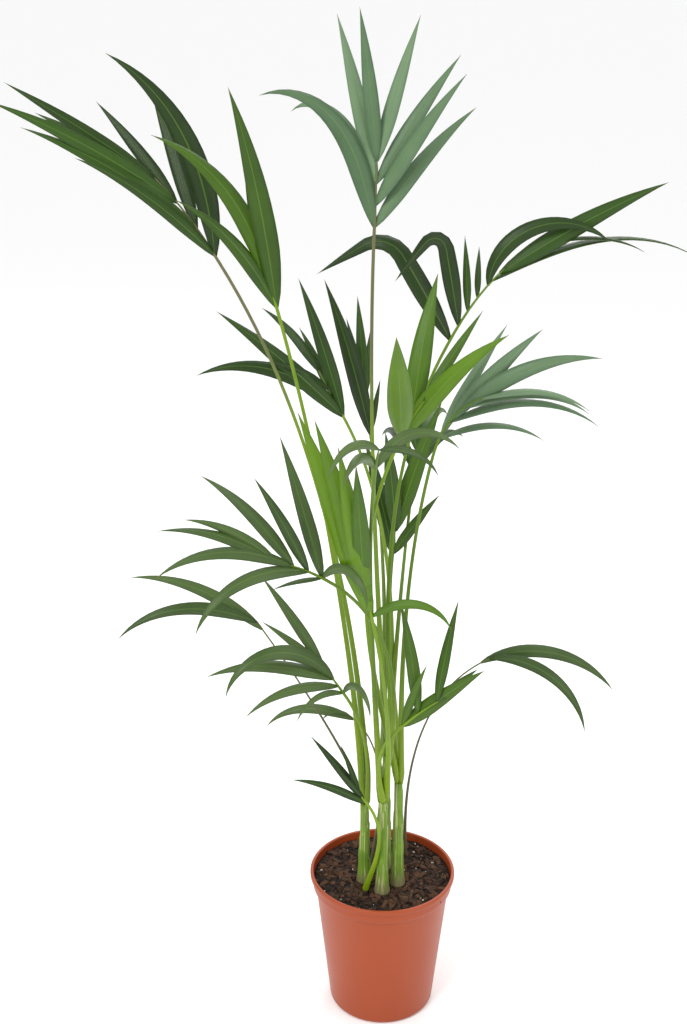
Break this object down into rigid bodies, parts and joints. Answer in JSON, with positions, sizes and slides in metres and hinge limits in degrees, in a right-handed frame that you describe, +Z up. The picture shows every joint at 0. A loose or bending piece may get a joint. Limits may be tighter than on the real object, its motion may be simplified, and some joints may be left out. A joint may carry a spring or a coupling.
{
  "type": "potted palm",
  "caption": "Free-standing potted kentia palm: slender stems in a round tapered nursery pot, with long stalks and fans of narrow drooping leaflets.",
  "frame": {"origin": "the middle of the pot's flat underside, where it stands on the floor", "axes": "+Z up from the pot to the crown, -Y towards the front of the plant, +X to its right as seen from the front"},
  "size_m": [0.9174, 0.78, 1.4058],
  "materials": {
    "orange_plastic": "satin moulded plastic",
    "potting_soil": "loose bark and peat",
    "leaf_sheath": "smooth green sheath with dry fibres",
    "petiole": "smooth green leaf stalk",
    "leaf_blade": "satin green leaf"
  },
  "bodies": {
    "root": {"pot": "orange_plastic", "soil": "potting_soil", "stem_left": "leaf_sheath", "stem_front": "leaf_sheath", "stem_right": "leaf_sheath", "stem_back": "leaf_sheath", "stalk_crown": "petiole", "frond_crown": "leaf_blade", "stalk_left_high": "petiole", "frond_left_high": "leaf_blade", "stalk_left_tall": "petiole", "frond_left_tall": "leaf_blade", "stalk_right_high": "petiole", "frond_right_high": "leaf_blade", "stalk_right_mid": "petiole", "frond_right_mid": "leaf_blade", "stalk_right_grey": "petiole", "frond_right_grey": "leaf_blade", "stalk_middle": "petiole", "frond_middle": "leaf_blade", "stalk_spear": "petiole", "frond_spear": "leaf_blade", "stalk_back_left": "petiole", "frond_back_left": "leaf_blade", "stalk_left_mid": "petiole", "frond_left_mid": "leaf_blade", "stalk_left_low": "petiole", "frond_left_low": "leaf_blade", "stalk_low_left": "petiole", "frond_low_left": "leaf_blade", "stalk_low_back": "petiole", "frond_low_back": "leaf_blade", "stalk_foot_left": "petiole", "frond_foot_left": "leaf_blade", "stalk_right_low": "petiole", "frond_right_low": "leaf_blade", "stalk_right_arch": "petiole", "frond_right_arch": "leaf_blade", "stalk_front": "petiole", "frond_front": "leaf_blade", "stalk_back_centre": "petiole", "frond_back_centre": "leaf_blade", "stalk_back_right": "petiole", "frond_back_right": "leaf_blade"}
  },
  "joints": []
}
